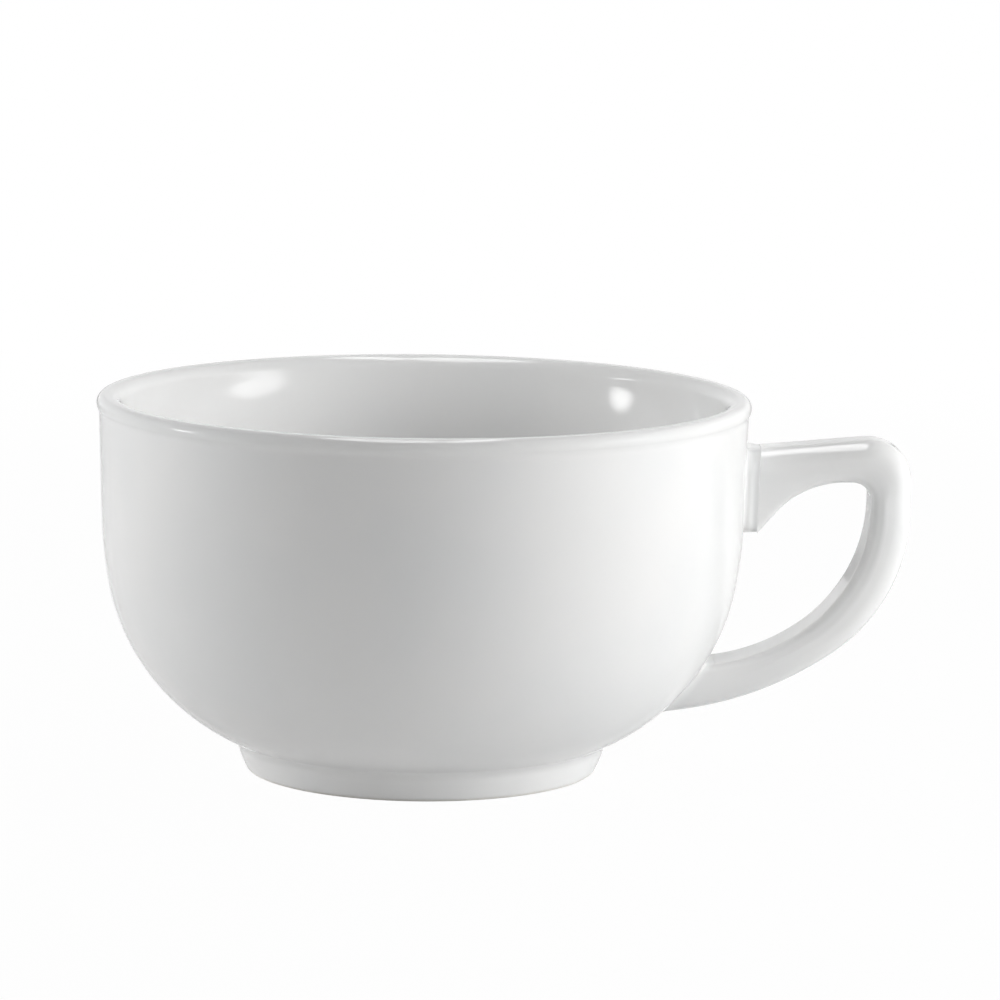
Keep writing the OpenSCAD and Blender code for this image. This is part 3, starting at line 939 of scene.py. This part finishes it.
cove_shape = bmesh.new()
cove_rings = []
for j in range(len(section)):
    crossing = int(np.argmax(clearance[:, j] < 0))
    met = skins[crossing, j]
    before = np.array([np.interp(walked[crossing, j] - COVE_ALONG, walked[:, j], skins[:, j, k])
                       for k in range(3)])
    outward = normals[crossing, j]
    beside = on_belly(met + outward * COVE_BESIDE)
    ring = [before - outward * COVE_SUNK]
    for f in np.linspace(0, 1, COVE_STEPS):
        ring.append((1 - f) ** 2 * before + 2 * f * (1 - f) * met + f ** 2 * beside)
    ring += [on_belly(beside, COVE_SUNK), on_belly(met - outward * COVE_SUNK, COVE_SUNK)]
    cove_rings.append([cove_shape.verts.new(tuple(point)) for point in ring])
skin(cove_shape, cove_rings + cove_rings[:1])
handle_cove = finish_shape("handle_cove", cove_shape, join_glaze)
report(handle_cove)

# %% [markdown]
# ## Tie the pieces to the frame
#
# The cup has no moving part, so every piece rides on the one body. Each visible piece stands for
# one solid of the construction model, which is hidden.

# %% Ride the body and hide the solids
for piece, node, slot in (
    (cup_bowl, "bowl", "white_glaze"),
    (cup_foot, "foot_ring", "foot_glaze"),
    (cup_handle, "handle", "white_glaze"),
    (handle_collar, "upper_slip_join", "join_glaze"),
    (handle_cove, "lower_slip_join", "join_glaze"),
):
    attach(piece, "root")
    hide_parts(node)
    print(piece.name, "stands for", node)

# %% [markdown]
# ## The studio
#
# The cup stands on a pale table in front of white. To the camera the table and the room are
# plain white, while for the light that falls on the cup they are only what they are: so the
# picture has a white ground, and the shade on the cup stays. Near the cup the table keeps a
# share of its own shading, which holds the soft shadow. A mirror image of the table keeps a
# larger share, or else the steep sides of a glossy cup would shine at their edges.

# %% Lay the table
TABLE_HALF = 6.0         # metres from its middle to each side
TABLE_GREY = (0.88, 0.88, 0.88, 1.0)
PLAIN_WHITE = (1.0, 1.0, 1.0, 1.0)
TABLE_SHOWN = 0.97       # share of plain white in what the camera sees of the table by the cup
TABLE_MIRRORED = 0.4     # the same share in what a reflection sees
SHADOW_NEAR, SHADOW_FAR = 0.2, 0.6   # the table turns plain white between these distances


def seen_directly(board, shown=1.0, mirrored=1.0):
    """Share of plain white for rays of the camera, of glass and of reflections; 0 for light."""
    ray = board.add("ShaderNodeLightPath")
    direct = ray["Is Camera Ray"] + ray["Is Transmission Ray"]
    seen = shown * direct + mirrored * ray["Is Glossy Ray"]
    return seen.math("MINIMUM", seen, 1.0)


table_mesh = bpy.data.meshes.new("table")
table_signs = ((-1, -1), (1, -1), (1, 1), (-1, 1))
table_corners = [(x * TABLE_HALF, y * TABLE_HALF, 0) for x, y in table_signs]
table_mesh.from_pydata(table_corners, [], [(0, 1, 2, 3)])
table = put("table", table_mesh)
table_white = bpy.data.materials.new("table_white")
board = blank_board(table_white)
distance = vector_math("LENGTH", board.add("ShaderNodeTexCoord")["Object"])["Value"]
far = ramp(board, distance, SHADOW_NEAR, SHADOW_FAR)
plain = seen_directly(board, TABLE_SHOWN + (1 - TABLE_SHOWN) * far, TABLE_MIRRORED)
matt = board.add("ShaderNodeBsdfDiffuse", {}, {"Color": TABLE_GREY})
shown = board.add("ShaderNodeEmission", {}, {"Color": PLAIN_WHITE, "Strength": 1.0})
mixed = board.add("ShaderNodeMixShader", {}, {0: plain, 1: matt, 2: shown})
board.add("ShaderNodeOutputMaterial", {}, {"Surface": mixed})
table_mesh.materials.append(table_white)

# %% Fill the room with grey light
ROOM_LIGHT = 0.06
world = bpy.data.worlds.new("studio")
scene.world = world
board = blank_board(world)
filling = board.add("ShaderNodeBackground", {}, {"Color": PLAIN_WHITE, "Strength": ROOM_LIGHT})
shown = board.add("ShaderNodeBackground", {}, {"Color": PLAIN_WHITE, "Strength": 1.0})
mixed = board.add("ShaderNodeMixShader", {}, {0: seen_directly(board), 1: filling, 2: shown})
board.add("ShaderNodeOutputWorld", {}, {"Surface": mixed})

# %% [markdown]
# Five softboxes stand half a metre from the cup, low on both sides and stronger on the right.
# So near, they light the sides and the handle well and leave the middle of the wall in half
# shade. They carry polarising film, which takes their mirror images off the glaze. What the
# glaze does mirror are bare lamps: a strip on the right, seen inside the bowl on the left, a
# round lamp on the left, which is the spark on the right, and a strip overhead, seen in the
# rounded edge of the handle's top bar. The card beside that strip is there for its mirror
# image alone, a bright line along the lip.
#
# A lamp is brightest in its middle and falls off towards its edge. That matters for a glossy
# thing: an even panel would be mirrored as a hard shape, and a real lamp is mirrored as a glow.
# So each lamp's brightness follows the distance from its centre, outside an even core.

# %% Hang the lamps
LAMP_AIM = Vector((0.0, 0.0, 45 * MM))
HANDLE_AIM = Vector((75 * MM, 0.0, 60 * MM))
LAMP_AWAY = 0.56         # from the cup's axis to the lamps beside it
OVERHEAD_AWAY = 0.6      # from the handle's top to the lamps over it


def lamp(name, azimuth, elevation, distance, width, height, brightness, core=0.1,
         aim=LAMP_AIM, mirrored=True, lights=True):
    """A soft oval lamp that looks at the cup. Azimuth 0 is behind the camera and 90 on the right.

    Distance, width and height are metres. A lamp that isn't mirrored only lights, and one that
    doesn't light is only seen as a mirror image.
    """
    light = bpy.data.lights.new(name, "AREA")
    light.shape = "ELLIPSE"
    light.size, light.size_y = width, height
    light.energy = brightness * width * height * math.pi ** 2 / 4
    board = blank_board(light)
    spot = board.add("ShaderNodeNewGeometry")["Parametric"]
    off_centre = vector_math("DISTANCE", spot, (0.5, 0.5, 0.0))["Value"]
    fall = 1 - ramp(board, 2 * off_centre, core, 1.0)
    glow = board.add("ShaderNodeEmission", {}, {"Color": PLAIN_WHITE, "Strength": fall})
    board.add("ShaderNodeOutputLight", {}, {"Surface": glow})
    lit = put(name, light)
    level = cosine(elevation)
    outward = Vector((sine(azimuth) * level, -cosine(azimuth) * level, sine(elevation)))
    lit.location = aim + outward * distance
    lit.rotation_mode = "QUATERNION"
    lit.rotation_quaternion = outward.to_track_quat("Z", "Y")
    lit.visible_camera = False
    lit.visible_glossy = mirrored
    lit.visible_diffuse = lights
    return lit


# name, azimuth, elevation, distance, width, height, brightness
lamps = [
    lamp("right_softbox", 70, 15, LAMP_AWAY, 1.10, 0.26, 8.2, mirrored=False),
    lamp("right_high_softbox", 85, 30, LAMP_AWAY, 0.94, 0.30, 2.6, mirrored=False),
    lamp("left_softbox", -86, 16, LAMP_AWAY, 0.80, 0.25, 6.2, mirrored=False),
    lamp("left_rear_softbox", -100, 26, LAMP_AWAY, 0.78, 0.30, 3.4, mirrored=False),
    lamp("back_softbox", 170, 48, LAMP_AWAY, 0.65, 0.30, 2.8, mirrored=False),
    lamp("right_strip_lamp", 72.1, 7.4, LAMP_AWAY, 0.37, 0.115, 4.2, core=0.4),
    lamp("left_round_lamp", -87.4, 7.9, LAMP_AWAY, 0.165, 0.13, 8.0, core=0.3),
    lamp("overhead_strip_lamp", 180, 80.5, OVERHEAD_AWAY, 0.09, 0.62, 5.4, core=0.7,
         aim=HANDLE_AIM),
    lamp("overhead_card", -90, 76, OVERHEAD_AWAY, 0.62, 0.26, 5.0, core=0.7,
         aim=HANDLE_AIM, lights=False),
]
print("lamps:", [one.name for one in lamps])
